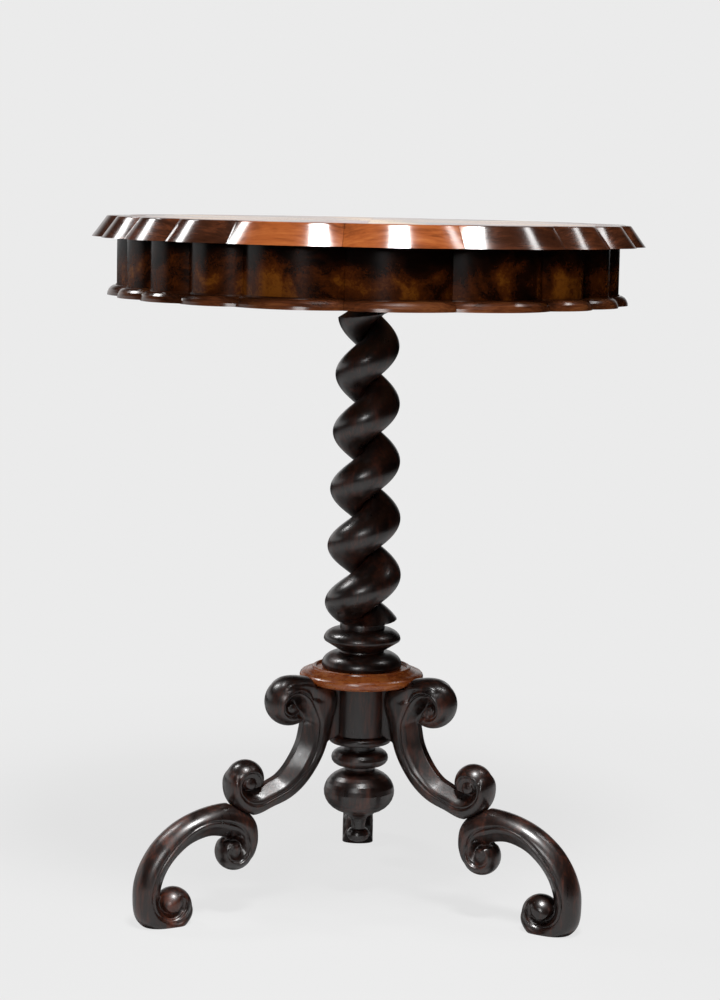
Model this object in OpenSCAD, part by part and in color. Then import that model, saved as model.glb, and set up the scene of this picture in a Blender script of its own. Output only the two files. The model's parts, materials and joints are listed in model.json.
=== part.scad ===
// Specimen table with a lobed tilting top, a barley-twist column and three scrolled legs.
// Millimetres. Z is up, the floor is z = 0, the column stands on the Z axis and -Y is the front.

/* [Whole table] */
// Height of the table
table_h = 731.2; // [712:1:755]
// Radius of the top over a wide lobe, at the lip of the rim
top_r = 292.6; // [288:1:300]
// Radius from the column's axis to the outside of a foot
foot_reach = 267; // [255:1:280]

/* [Lobes] */
// Wide lobes in a run, and as many narrow ones in the run after it
lobes_in_run = 3; // [2:1:4]
// Share of the circle that the wide lobes take
wide_share = 0.6; // [0.54:0.01:0.64]
// Turn of the first wide run from the front, seen from above
lobe_turn = 6.5; // [0:0.5:20]
// Slant of a lobe's face against the radius, where two lobes meet
cusp_angle = 24; // [21:1:26]
// Hairline between one lobe and the next
lobe_joint = 0.3; // [0.2:0.1:0.6]

/* [Rim, frieze and base moulding] */
// Height of the sloping rim
rim_h = 21.8; // [19:1:26]
// How far the rim slopes in over that height
rim_run = 16.1; // [12:1:19]
// Rounding of the rim's upper edge
rim_arris = 2.4; // [1:0.2:3]
// How far the frieze stands in from the lip
frieze_set = 26.6; // [24:1:28]
// Height of the frieze
frieze_h = 49.4; // [44:1:52]
// Height of the moulding along the frieze's foot
base_h = 11.5; // [9:0.5:13]
// How far that moulding flares out
base_flare = 10.1; // [7:1:12]
// Thickness of the frieze over a wide lobe
frieze_t = 26; // [24:1:29]
// Thickness of that ring
ring_t = 12; // [9:1:14]

/* [Board and specimen woods] */
// Width of the rim over a wide lobe, from its lip in to the round board
rim_w = 40.6; // [38.6:0.5:43.6]
// Thickness of the specimen woods
specimen_t = 4; // [3:0.5:5]
// Sectors of each specimen wood round the top
sectors_each = 3; // [2:1:4]
// Width of the border round the specimens
border_w = 15; // [10:1:22]
// Radius of the roundel in the middle
roundel_r = 36; // [28:1:46]
// Hairline between two woods
wood_joint = 0.2; // [0.1:0.1:0.4]

/* [Twist] */
// Height of a crest on the right-hand side, over the collar disc
twist_crest = 100.6; // [85:1:115]
// Rise of the twist in one turn
twist_pitch = 61.3; // [56:1:68]
// Radius of the twist at its foot
twist_foot_r = 41.5; // [38:0.5:43]
// Radius of the twist at its head
twist_head_r = 32.2; // [30:0.5:36]
// Radius at the bottom of the groove
groove_r = 2.6; // [2:0.2:5]
// Radius of the neck under the twist
neck_r = 24.2; // [22:0.5:25]
// Radius of the neck over the twist
head_neck_r = 21.5; // [20:0.5:23]
// Length over which the twist runs out at its foot
run_out = 8.5; // [7:0.5:14]
// Length over which the twist runs out at its head
head_run_out = 7.5; // [6:0.5:12]

/* [Turned foot and cap of the column] */
// Radius of the cushion at the column's foot
cushion_r = 43.1; // [41:0.5:45]
// Height of the cushion
cushion_h = 16.7; // [15:0.5:19]
// Radius of the bead over the cushion
bead_r = 41.3; // [38:0.5:44]
// Height of the bead
bead_h = 23.4; // [21:0.5:26]
// Height of the plain neck between the bead and the twist
neck_h = 4.8; // [3:0.5:7]
// Height of the neck between the twist and the cap
head_neck_h = 23; // [20:1:26]
// Height of the turned cap under the block
cap_h = 16; // [12:1:18]
// Radius of the turned cap
cap_r = 36; // [32:1:40]
// Radius of the round tenon at each end
tenon_r = 14; // [12:1:15]
// Length of the lower tenon in the hub
tenon_in_hub = 47; // [40:1:49]

/* [Collar disc, hub and pendant] */
// Radius of the collar disc
collar_r = 66.5; // [64:0.5:68]
// Thickness of the collar disc under the column
collar_t = 15.9; // [14:0.5:18]
// Radius of the hub's drum
hub_r = 31; // [29.5:0.5:32.5]
// Height of the hub
hub_h = 67; // [65:1:72]
// How far the ring at the hub's foot stands out
hub_ring_out = 3; // [2:0.2:4.4]
// Length of the pendant under the hub
pendant_h = 110; // [100:1:118]
// Radius of the pendant's bulb
bulb_r = 38.2; // [34:1:42]
// Radius of the pendant's disc
pendant_disc_r = 30.8; // [28:1:33]
// Radius of the pendant's stem, over its button
pendant_stem_r = 7.6; // [6.6:0.2:9]
// Radius of the pendant's spigot
spigot_r = 8; // [6:0.5:10]
// Length of the spigot
spigot_h = 13; // [10:1:14]

/* [Legs] */
// Height of the legs' tops, just under the collar disc
leg_h = 238; // [233:1:244]
// Width of the upper scroll
upper_w = 33; // [30:1:36]
// Greatest thickness of the upper scroll's band
upper_t = 35; // [33:0.5:38]
// Width of the lower scroll
lower_w = 36; // [33:1:38]
// Greatest thickness of the lower scroll's band
lower_t = 28; // [26:0.5:30]
// Radius of the roll at the head of the leg
head_roll_r = 26; // [24:0.5:27]
// Radius of the three smaller rolls
roll_r = 20.4; // [19.8:0.2:21]
// Half the width of a roll at its middle
roll_side = 19.4; // [18:0.2:19.6]
// Radius of the button in the middle of a roll
eye_r = 6.5; // [5:0.5:8]
// How far that button stands out
eye_out = 1.4; // [0.8:0.2:2.4]
// Width of the tongue between the leg and the hub
tongue_w = 16; // [14:1:20]
// Width of the tenon in the hub
leg_tenon_w = 10; // [8:1:12]
// Length of the tenon in the hub
leg_tenon_l = 14; // [10:1:14]
// Height of the tenon in the hub
leg_tenon_h = 44; // [36:1:46]
// Radius of the dowels at the knee
dowel_r = 4; // [3:0.5:5]
// Length of those dowels
dowel_l = 26; // [20:1:30]

/* [Block and bearers] */
// Distance from the column's axis forward to the pivots
pivot_y = 88; // [85:1:94]
// Thickness of the block
block_t = 34; // [32:1:38]
// Width of the block
block_w = 170; // [150:1:180]
// Length of the block behind the column's axis
block_back = 105; // [95:1:120]
// Radius of the pivot pins
pivot_r = 6; // [5:0.5:7]
// Depth of the pivot pins in the block
pivot_in = 25; // [20:1:30]
// Thickness of a bearer
bearer_w = 25; // [20:1:28]
// Height of a bearer
bearer_h = 30; // [27:1:34]
// Gap between a bearer's end and the ring behind the frieze
bearer_end_gap = 11.4; // [8:0.2:30]
// Gap between a bearer and the side of the block
bearer_gap = 0.6; // [0.4:0.1:1]
// Width of the wedge in the upper tenon
wedge_w = 4; // [3:0.5:6]

/* [Catch] */
// Radius of the bolt
bolt_r = 5; // [4:0.5:6]
// Length of the bolt
bolt_l = 40; // [37:1:46]
// Travel of the bolt into the block
bolt_travel = 9; // [7:1:10]
// Length of the case that guides the bolt
case_l = 34; // [32:1:37]
// Width of the case
case_w = 18; // [16:1:22]
// Thickness of the plate that carries the case
plate_t = 2; // [1.5:0.5:3]
// Width of that plate
plate_w = 44; // [42:1:50]
// Radius of the finger knob
knob_r = 6; // [5:0.5:7]
// Thickness of the keeper let into the block
keeper_t = 1.6; // [1.2:0.2:2.4]

/* [Clearances] */
// Gap between pieces that only rest together
rest_gap = 0.3; // [0.2:0.1:0.5]
// Gap round a glued tenon, dowel or screw
glue_gap = 0.1; // [0.06:0.02:0.2]
// Gap round a pin or bolt that turns or slides
running_gap = 0.06; // [0.03:0.01:0.1]

/* [Hidden] */

$fn = 96;
FAR = 500;

// Legs: rear, front left and front right
LEG_ANGLES = [90, 210, 330];

// Radii from the lip inward
board_r = top_r - rim_w;
ring_r = top_r - frieze_set - frieze_t;

// Heights from the top down
board_top = table_h - specimen_t;
lip_z = table_h - rim_h;
frieze_z = lip_z - frieze_h;
base_z = frieze_z - base_h;
block_top = lip_z - rest_gap;
block_z = block_top - block_t;
pivot_z = block_top - block_t / 2;

// Heights from the floor up
hub_z = leg_h - hub_h;
disc_z = leg_h + rest_gap;
column_z = disc_z + collar_t;
bead_z = column_z + cushion_h + 2;
twist_z0 = column_z + cushion_h + 2 + bead_h + neck_h;
twist_z1 = block_z - cap_h - head_neck_h;

// Points on an elliptical arc
function arc(cx, cz, rx, rz, a0, a1, n) =
    [for (i = [0 : n]) let (t = a0 + (a1 - a0) * i / n) [cx + rx * cos(t), cz + rz * sin(t)]];

// A smooth step from 0 to 1
function ease(x) = let (t = max(0, min(1, x))) t * t * (3 - 2 * t);

// Faces of a closed tube of n rings with m points each; turn = 1 for rings drawn anticlockwise
// about the direction of travel and 0 for clockwise
function tube_faces(n, m, turn) =
    let (side = [for (i = [0 : n - 2]) for (j = [0 : m - 1])
            let (a = i * m + j, b = i * m + (j + 1) % m)
            for (f = [[a, b, a + m], [b, b + m, a + m]]) turn == 1 ? [f[2], f[1], f[0]] : f],
        first = [for (j = [0 : m - 1]) turn == 1 ? j : m - 1 - j],
        last = [for (j = [0 : m - 1]) (n - 1) * m + (turn == 1 ? m - 1 - j : j)])
    concat(side, [first], [last]);

// LOBED TOP
// Each lobe is drawn on an arc with its own centre, out on the lobe's middle line. The arcs
// meet at one radius and one slant, so mouldings run round them and mitre on the radius.
LOBE_GROUPS = 3;
run_angle = 360 / LOBE_GROUPS;
wide_angle = run_angle * wide_share / lobes_in_run;
narrow_angle = run_angle * (1 - wide_share) / lobes_in_run;
cusp_r = top_r * cos((wide_angle / 2 + cusp_angle) / 2) / cos((wide_angle / 2 - cusp_angle) / 2);
function arc_radius(angle) = cusp_r * sin(angle / 2) / sin(angle / 2 + cusp_angle);
function arc_centre(angle) = cusp_r * sin(cusp_angle) / sin(angle / 2 + cusp_angle);
function lobe_angle(wide) = wide ? wide_angle : narrow_angle;
function lobe_middles(wide) = [
    for (g = [0 : LOBE_GROUPS - 1]) for (i = [0 : lobes_in_run - 1])
        270 + lobe_turn + run_angle * (g + (wide ? 0 : 0.5))
        + (i - (lobes_in_run - 1) / 2) * lobe_angle(wide)];

// One lobe of a moulding: a turning about the arc's centre, cut to its share of the circle
module lobe(angle, outline, z0, z1, inner_r) {
    half = angle / 2;
    difference() {
        intersection() {
            translate([arc_centre(angle), 0, 0])
                rotate_extrude()
                    polygon(outline);
            translate([lobe_joint / 2 / sin(half), 0, z0 - 1])
                linear_extrude(z1 - z0 + 2)
                    polygon([[0, 0], [FAR, -FAR * tan(half)], [FAR, FAR * tan(half)]]);
        }
        translate([0, 0, z0 - 1])
            cylinder(r = inner_r + glue_gap, h = z1 - z0 + 2);
    }
}

// The sloping rim, with its upper edge rounded over
function rim_outline(angle) =
    let (a = arc_radius(angle), slope = atan(rim_run / rim_h),
        cx = a - rim_run - rim_arris * (1 - sin(slope)) / cos(slope))
    concat([[0, lip_z], [a, lip_z]],
        arc(cx, table_h - rim_arris, rim_arris, rim_arris, slope, 90, 3),
        [[0, table_h]]);

module rim_lobes(wide) {
    color("sienna")
        for (middle = lobe_middles(wide))
            rotate([0, 0, middle])
                lobe(lobe_angle(wide), rim_outline(lobe_angle(wide)), lip_z, table_h, board_r);
}

// The upright frieze
function frieze_outline(angle) =
    let (a = arc_radius(angle) - frieze_set, top = lip_z - glue_gap)
    [[0, frieze_z], [a, frieze_z], [a, top], [0, top]];

module frieze_lobes(wide) {
    color("saddlebrown")
        for (middle = lobe_middles(wide))
            rotate([0, 0, middle])
                lobe(lobe_angle(wide), frieze_outline(lobe_angle(wide)), frieze_z, lip_z, ring_r);
}

// The base moulding: a small step, then a quarter round that flares out to the foot
function base_outline(angle) =
    let (a = arc_radius(angle) - frieze_set, step = 1, top = frieze_z - glue_gap)
    concat([[0, base_z]],
        arc(a + step, base_z, base_flare - step, base_h - glue_gap - step, 0, 90, 5),
        [[a + step, top], [0, top]]);

module base_lobes(wide) {
    color("brown")
        for (middle = lobe_middles(wide))
            rotate([0, 0, middle])
                lobe(lobe_angle(wide), base_outline(lobe_angle(wide)), base_z, frieze_z, ring_r);
}

// Ring of wood that the frieze and the base moulding are glued to
module frieze_ring() {
    color("peru")
        translate([0, 0, base_z])
            difference() {
                cylinder(r = ring_r, h = lip_z - base_z);
                translate([0, 0, -1])
                    cylinder(r = ring_r - ring_t, h = lip_z - base_z + 2);
            }
}

// A countersunk screw along +Z with its head down at the origin; grow makes its hole
module screw(length, r, grow = 0) {
    cylinder(r = r + grow, h = length + grow);
    cylinder(r1 = 2.1 * r + grow, r2 = r + grow, h = 1.5 * r + grow);
}

SCREW_R = 2.4;
SMALL_SCREW_R = 1.5;
bearer_x = block_w / 2 + bearer_gap + bearer_w / 2;
bearer_half = sqrt(pow(ring_r - ring_t, 2) - pow(bearer_x + bearer_w / 2, 2)) - bearer_end_gap;
bearer_screw_spots = [for (x = [-bearer_x, bearer_x]) for (k = [-0.8, 0.1, 0.8])
    [x, k * bearer_half, lip_z - bearer_h]];
case_y = block_back + 3;
plate_y = block_back + 1.5;
plate_l = case_l + 3;
catch_screw_spots = [for (x = [-1, 1]) for (y = [7, plate_l - 7])
    [x * (plate_w / 2 - 6), plate_y + y, lip_z - plate_t]];
bearer_screw_l = bearer_h + board_top - lip_z - 4;
catch_screw_l = plate_t + 10;

// Round board that carries the woods, the rim and the bearers
module top_board() {
    color("tan")
        difference() {
            translate([0, 0, lip_z])
                cylinder(r = board_r, h = board_top - lip_z);
            for (p = bearer_screw_spots)
                translate(p)
                    screw(bearer_screw_l, SCREW_R, glue_gap);
            for (p = catch_screw_spots)
                translate(p)
                    screw(catch_screw_l, SMALL_SCREW_R, glue_gap);
        }
}

// SPECIMEN WOODS
WOOD_COLOURS = ["gold", "black", "sienna", "maroon", "goldenrod", "peru", "dimgray", "firebrick"];
wood_count = len(WOOD_COLOURS);
sector_angle = 360 / wood_count / sectors_each;
field_r = board_r - border_w;

module specimens(wood) {
    half = sector_angle / 2;
    color(WOOD_COLOURS[wood])
        for (i = [0 : sectors_each - 1])
            rotate([0, 0, 270 + lobe_turn + (i * wood_count + wood) * sector_angle])
                difference() {
                    intersection() {
                        translate([0, 0, board_top])
                            cylinder(r = field_r - wood_joint, h = specimen_t);
                        translate([wood_joint / 2 / sin(half), 0, board_top - 1])
                            linear_extrude(specimen_t + 2)
                                polygon([[0, 0], [FAR, -FAR * tan(half)], [FAR, FAR * tan(half)]]);
                    }
                    translate([0, 0, board_top - 1])
                        cylinder(r = roundel_r + wood_joint, h = specimen_t + 2);
                }
}

module specimen_border() {
    color("saddlebrown")
        translate([0, 0, board_top])
            difference() {
                cylinder(r = board_r, h = specimen_t);
                translate([0, 0, -1])
                    cylinder(r = field_r, h = specimen_t + 2);
            }
}

module centre_roundel() {
    color("gold")
        translate([0, 0, board_top])
            cylinder(r = roundel_r, h = specimen_t);
}

// TILTING BLOCK AND BEARERS
module pivot_bore(r, x0, x1) {
    translate([x0, -pivot_y, pivot_z])
        rotate([0, 90, 0])
            cylinder(r = r, h = x1 - x0);
}

wedge_depth = block_t - 6;
bolt_z = lip_z - plate_t - bolt_r - 3.5;
KEEPER_W = 26;
keeper_h = 2 * bolt_r + 6;
keeper_screw_x = 9;

module tilt_block() {
    color("dimgray")
        difference() {
            union() {
                translate([-block_w / 2, -pivot_y, block_z])
                    cube([block_w, pivot_y + block_back, block_t]);
                pivot_bore(block_t / 2, -block_w / 2, block_w / 2);
            }
            translate([0, 0, block_z - 1])
                cylinder(r = tenon_r + glue_gap, h = block_t + 2);
            pivot_bore(pivot_r + running_gap, block_w / 2 - pivot_in, block_w / 2 + 1);
            pivot_bore(pivot_r + running_gap, -block_w / 2 - 1, pivot_in - block_w / 2);
            translate([0, block_back, bolt_z])
                rotate([90, 0, 0])
                    cylinder(r = bolt_r + 0.6, h = bolt_travel + 3);
            translate([-KEEPER_W / 2 - glue_gap, block_back - keeper_t, bolt_z - keeper_h / 2 - glue_gap])
                cube([KEEPER_W + 2 * glue_gap, keeper_t + 1, keeper_h + 2 * glue_gap]);
            keeper_screw_forms(glue_gap);
        }
}

module keeper_screw_forms(grow) {
    for (x = [-keeper_screw_x, keeper_screw_x])
        translate([x, block_back, bolt_z])
            rotate([90, 0, 0])
                screw(12, SMALL_SCREW_R, grow);
}

module catch_keeper() {
    color("goldenrod")
        difference() {
            translate([-KEEPER_W / 2, block_back - keeper_t, bolt_z - keeper_h / 2])
                cube([KEEPER_W, keeper_t, keeper_h]);
            translate([0, block_back + 1, bolt_z])
                rotate([90, 0, 0])
                    cylinder(r = bolt_r + 0.4, h = keeper_t + 2);
            keeper_screw_forms(glue_gap);
        }
}

module keeper_screws() {
    color("darkgoldenrod")
        keeper_screw_forms(0);
}

// Wedge that spreads the column's upper tenon in the block
module wedge_form(grow) {
    rotate([90, 0, 90])
        translate([0, 0, -tenon_r - 1])
            linear_extrude(2 * tenon_r + 2)
                polygon([[-wedge_w / 2 - grow, block_top],
                    [-wedge_w / 6 - grow, block_top - wedge_depth - grow],
                    [wedge_w / 6 + grow, block_top - wedge_depth - grow],
                    [wedge_w / 2 + grow, block_top]]);
}

module tenon_wedge() {
    color("tan")
        intersection() {
            wedge_form(0);
            translate([0, 0, block_z])
                cylinder(r = tenon_r, h = block_t);
        }
}

module pivot_pins() {
    color("goldenrod") {
        pivot_bore(pivot_r, block_w / 2 - pivot_in, bearer_x + bearer_w / 2);
        pivot_bore(pivot_r, -bearer_x - bearer_w / 2, pivot_in - block_w / 2);
    }
}

// A bearer: a batten with its ends cut back, bored for the pivot
module bearer(side) {
    color("peru")
        difference() {
            translate([side * bearer_x - bearer_w / 2, 0, lip_z])
                rotate([90, 0, 90])
                    linear_extrude(bearer_w)
                        polygon([[-bearer_half, 0], [-bearer_half, -bearer_h / 3],
                            [-bearer_half + 36, -bearer_h], [bearer_half - 36, -bearer_h],
                            [bearer_half, -bearer_h / 3], [bearer_half, 0]]);
            pivot_bore(pivot_r + running_gap, side * bearer_x - bearer_w, side * bearer_x + bearer_w);
            for (p = bearer_screw_spots)
                translate(p)
                    screw(bearer_screw_l, SCREW_R, glue_gap);
        }
}

module bearer_screws() {
    color("silver")
        for (p = bearer_screw_spots)
            translate(p)
                screw(bearer_screw_l, SCREW_R);
}

// CATCH: a round bolt drawn in a brass case on the underside of the board
bolt_y = block_back + 0.8;
stem_y = bolt_y + bolt_l * 0.62;
STEM_R = 2.5;

module catch_case() {
    color("goldenrod")
        difference() {
            union() {
                translate([-plate_w / 2, plate_y, lip_z - plate_t])
                    cube([plate_w, plate_l, plate_t]);
                translate([-case_w / 2, case_y, bolt_z - bolt_r - 2])
                    cube([case_w, case_l, lip_z - plate_t / 2 - bolt_z + bolt_r + 2]);
            }
            translate([0, case_y - 1, bolt_z])
                rotate([-90, 0, 0])
                    cylinder(r = bolt_r + running_gap, h = case_l + 2);
            translate([-STEM_R - 0.4, stem_y - bolt_travel - STEM_R - 0.6, bolt_z - bolt_r - 3])
                cube([2 * STEM_R + 0.8, bolt_travel + 2 * STEM_R + 1.2, bolt_r + 3]);
            for (p = catch_screw_spots)
                translate(p)
                    screw(catch_screw_l, SMALL_SCREW_R, glue_gap);
        }
}

module catch_bolt() {
    knob_z = bolt_z - bolt_r - 5 - knob_r;
    color("gold") {
        translate([0, bolt_y, bolt_z])
            rotate([-90, 0, 0])
                cylinder(r = bolt_r, h = bolt_l);
        translate([0, stem_y, knob_z])
            cylinder(r = STEM_R, h = bolt_z - knob_z);
        translate([0, stem_y, knob_z])
            sphere(r = knob_r);
    }
}

module catch_screws() {
    color("darkgoldenrod")
        for (p = catch_screw_spots)
            translate(p)
                screw(catch_screw_l, SMALL_SCREW_R);
}

// COLUMN
// The twist is a single strand: its section is the same at every height, tapered and turned.
TWIST_POINTS = 26;
TWIST_RINGS = 16;
twist_step = twist_pitch / TWIST_RINGS;
twist_rings = ceil((twist_z1 - twist_z0 + 4) / twist_step);

// Radius of the twist at height z, at an angle from the crest of -180 to 180 degrees
function twist_radius(z, from_crest) =
    let (up = z - twist_z0, down = twist_z1 - z,
        full = twist_foot_r + (twist_head_r - twist_foot_r) * up / (twist_z1 - twist_z0),
        foot = neck_r - 0.4, head = head_neck_r - 0.4,
        out0 = foot + (full - foot) * sin(90 * max(0, min(1, up / run_out))),
        out1 = head + (full - head) * max(0, min(1, down / head_run_out)),
        in0 = foot + (groove_r - foot) * ease(up / run_out / 1.3),
        in1 = head + (groove_r - head) * ease(down / head_run_out / 1.3),
        strand = groove_r + (full - groove_r) * cos(from_crest / 2))
    max(in0, in1, min(strand, out0, out1));

module twist() {
    points = [for (i = [0 : twist_rings]) for (j = [0 : TWIST_POINTS - 1])
        let (z = twist_z0 - 2 + i * (twist_z1 - twist_z0 + 4) / twist_rings,
            a = 360 * j / TWIST_POINTS - 180,
            turn = a + 360 * (z - column_z - twist_crest) / twist_pitch,
            r = twist_radius(z, a))
        [r * cos(turn), r * sin(turn), z]];
    polyhedron(points, tube_faces(twist_rings + 1, TWIST_POINTS, 1));
}

module column() {
    foot = concat([[0, column_z], [cushion_r - 0.8, column_z]],
        arc(neck_r, column_z + 2.5, cushion_r - neck_r, cushion_h - 2.5, 0, 90, 7),
        [[neck_r - 0.6, bead_z - 0.6], [bead_r - 0.8, bead_z + bead_h * 0.43]],
        arc(neck_r, bead_z + bead_h * 0.5, bead_r - neck_r, bead_h * 0.5, 0, 90, 7),
        [[neck_r, twist_z0], [0, twist_z0]]);
    head = concat([[0, twist_z1], [head_neck_r, twist_z1], [head_neck_r, block_z - cap_h - 6]],
        arc(head_neck_r, block_z - cap_h - 3, 4, 3, -90, 90, 4),
        arc(head_neck_r + 2, block_z - 3, cap_r - head_neck_r - 2, cap_h - 3, -90, 0, 6),
        [[cap_r, block_z], [0, block_z]]);
    color("black")
        difference() {
            union() {
                twist();
                rotate_extrude()
                    polygon(foot);
                rotate_extrude()
                    polygon(head);
                translate([0, 0, disc_z - tenon_in_hub])
                    cylinder(r = tenon_r, h = column_z - disc_z + tenon_in_hub + 1);
                translate([0, 0, block_z - 1])
                    cylinder(r = tenon_r, h = block_t + 1);
            }
            wedge_form(0.05);
        }
}

// Turned disc of a paler wood between the column and the hub
module collar_disc() {
    tor = 4.8;
    outline = concat([[0, disc_z], [collar_r - 8, disc_z], [collar_r - 6.6, disc_z + 1.2]],
        arc(collar_r - tor, disc_z + 1.8 + tor, tor, tor, -80, 75, 7),
        [[collar_r - 8, disc_z + 12.2], [cushion_r + 10, column_z - 0.9]],
        arc(cushion_r + 7.6, column_z - 0.9, 2.2, 2.2, 0, 180, 5),
        [[0, column_z]]);
    color("chocolate")
        difference() {
            rotate_extrude()
                polygon(outline);
            translate([0, 0, disc_z - 1])
                cylinder(r = tenon_r + glue_gap, h = collar_t + 2);
        }
}

// HUB AND PENDANT
tenon_mid_z = leg_h - leg_tenon_h / 2 - 5;
tongue_z = leg_h - leg_tenon_h - 17;
hub_ring_h = 9;

module hub() {
    half = hub_ring_h / 2;
    outline = concat([[0, hub_z], [hub_r - 2, hub_z]],
        arc(hub_r + hub_ring_out - half, hub_z + half, half, half, -90, 90, 8),
        [[hub_r, hub_z + hub_ring_h + 1.5], [hub_r, leg_h], [0, leg_h]]);
    color("black")
        difference() {
            rotate_extrude()
                polygon(outline);
            translate([0, 0, disc_z - tenon_in_hub - 0.5])
                cylinder(r = tenon_r + glue_gap, h = tenon_in_hub + 2);
            translate([0, 0, hub_z - 1])
                cylinder(r = spigot_r + glue_gap, h = spigot_h + 1.5);
            for (angle = LEG_ANGLES)
                rotate([0, 0, angle])
                    leg_tenon(glue_gap);
        }
}

module leg_tenon(grow) {
    translate([hub_r - leg_tenon_l - grow, -leg_tenon_w / 2 - grow, tenon_mid_z - leg_tenon_h / 2 - grow])
        cube([leg_tenon_l + 6, leg_tenon_w + 2 * grow, leg_tenon_h + 2 * grow]);
}

module pendant() {
    h = pendant_h;
    top = hub_z;
    neck = 15.7;
    outline = concat([[0, top], [neck + 1, top], [neck + 1, top - h * 0.066]],
        arc(pendant_disc_r - 10, top - h * 0.149, 10, h * 0.077, 80, -80, 8),
        [[neck, top - h * 0.234], [neck, top - h * 0.263]],
        arc(bulb_r - 28, top - h * 0.489, 28, h * 0.215, 75, -70, 12),
        arc(pendant_stem_r + 11.4, top - h * 0.823, 11.4, h * 0.115, 100, 180, 5),
        arc(2.5, top - h * 0.928, 10, h * 0.072, 60, -90, 8),
        [[0, top - h]]);
    color("black") {
        rotate_extrude()
            polygon(outline);
        translate([0, 0, top - 1])
            cylinder(r = spigot_r, h = spigot_h + 1);
    }
}

// LEGS
// A leg is drawn in its own upright plane, x out from the column and z up. Each scroll is a
// band that winds on to a roll at either end. A point on a band is [x, z, share of its
// greatest thickness], and a point of a winding is [angle round the roll, outer radius over
// the roll's radius, share of the band's width], so that the band's tip narrows and sinks
// into the roll.
DRAWN_HUB = 31;
DRAWN_REACH = 267;
DRAWN_TOP = 238;
function leg_x(x) = hub_r + (x - DRAWN_HUB) * (foot_reach - hub_r) / (DRAWN_REACH - DRAWN_HUB);
function leg_z(z) = z * leg_h / DRAWN_TOP;
head_roll = [leg_x(88.5), leg_z(223.8)];
knee_top_roll = [leg_x(139.2), leg_z(145)];
knee_roll = [leg_x(151.3), leg_z(68.5)];
foot_roll = [leg_x(222.1), leg_z(18.1)];
seam = [leg_x(145), leg_z(112.8)];
seam_angle = 27.3;

HEAD_WIND = [[40, 1, 0.3], [70, 1.01, 0.6], [98, 1.05, 0.84], [126, 1.17, 0.98], [150, 1.45, 1]];
UPPER_BAND = [[47.4, 225, 0.84], [53.8, 203.7, 0.99], [61.5, 172.9, 0.97], [75.9, 148.7, 0.93],
    [92.4, 133.2, 0.86], [112.4, 124.4, 0.78]];
UPPER_WIND = [[-107, 2.02, 1], [-80, 1.72, 0.97], [-50, 1.39, 0.88], [-14, 1.11, 0.66], [28, 1.03, 0.3]];
LOWER_WIND_FOOT = [[180, 1.04, 0.36], [222, 1.07, 0.62], [262, 1.2, 0.8], [298, 1.38, 0.92], [328, 1.73, 1],
    [352, 2.06, 1]];
LOWER_BAND = [[252.4, 33, 0.97], [250, 48, 1], [242.5, 65, 1], [229.7, 81, 1], [209.5, 95.5, 0.98],
    [184.3, 103.5, 1.08]];
LOWER_WIND_KNEE = [[76, 2.62, 1], [97, 2.28, 0.98], [118, 1.94, 0.9], [142, 1.44, 0.74], [168, 1.13, 0.55],
    [204, 1.04, 0.36]];

function band(list, thickness) = [for (p = list) [leg_x(p[0]), leg_z(p[1]), p[2] * thickness, 1]];
function winding(centre, r, list) = [for (p = list)
    let (inner = r * (0.4 + 0.52 * p[2]), outer = r * p[1], mid = (outer + inner) / 2)
    [centre[0] + mid * cos(p[0]), centre[1] + mid * sin(p[0]), outer - inner, p[2]]];

// A smooth curve through the points, with n steps between one and the next
function blend(a, b, c, d, t) =
    ((2 * b) + (c - a) * t + (2 * a - 5 * b + 4 * c - d) * t * t + (3 * b - a - 3 * c + d) * t * t * t) / 2;
function smooth_path(p, n) =
    let (k = len(p) - 1)
    concat([for (i = [0 : k - 1]) for (s = [0 : n - 1])
            blend(p[max(0, i - 1)], p[i], p[i + 1], p[min(k, i + 2)], s / n)], [p[k]]);

// Half outlines across a band, from its narrow face over a broad hollow, a bead and a crease to its
// rounded back: [share of half the width, share of half the thickness]
UPPER_SECTION = [[0.46, -1], [0.6, -0.62], [0.82, -0.24], [0.96, 0], [0.87, 0.2], [1, 0.34], [0.86, 0.68],
    [0.46, 0.95]];
LOWER_SECTION = [[0.48, -1], [0.6, -0.62], [0.8, -0.24], [0.94, -0.02], [0.87, 0.16], [1, 0.3], [0.88, 0.66],
    [0.46, 0.95]];

module scroll_band(path, width, half_section) {
    k = len(half_section);
    section = concat(half_section, [for (i = [k - 1 : -1 : 0]) [-half_section[i][0], half_section[i][1]]]);
    n = len(path);
    points = [for (i = [0 : n - 1])
        let (before = path[max(0, i - 1)], after = path[min(n - 1, i + 1)],
            dx = after[0] - before[0], dz = after[1] - before[1], d = norm([dx, dz]))
        for (s = section)
            [path[i][0] + s[1] * path[i][2] / 2 * dz / d, s[0] * path[i][3] * width / 2,
                path[i][1] - s[1] * path[i][2] / 2 * dx / d]];
    polyhedron(points, tube_faces(n, 2 * k, 0));
}

// A roll of a scroll: a disc with a fully rounded edge and a button on either side
module roll(centre, r) {
    core = r - roll_side;
    translate([centre[0], 0, centre[1]])
        rotate([90, 0, 0]) {
            rotate_extrude()
                intersection() {
                    union() {
                        translate([core, 0])
                            circle(r = roll_side);
                        translate([0, -roll_side])
                            square([core, 2 * roll_side]);
                    }
                    translate([0, -roll_side])
                        square([r, 2 * roll_side]);
                }
            translate([0, 0, -roll_side - eye_out])
                cylinder(r = eye_r, h = 2 * (roll_side + eye_out));
        }
}

// Everything under the glued joint between the two scrolls
module under_seam() {
    translate([seam[0], 0, seam[1]])
        rotate([0, -seam_angle, 0])
            translate([-FAR, -FAR, -2 * FAR])
                cube([2 * FAR, 2 * FAR, 2 * FAR]);
}

module over_seam() {
    translate([seam[0], 0, seam[1]])
        rotate([0, -seam_angle, 0])
            translate([-FAR, -FAR, 0])
                cube([2 * FAR, 2 * FAR, 2 * FAR]);
}

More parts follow.
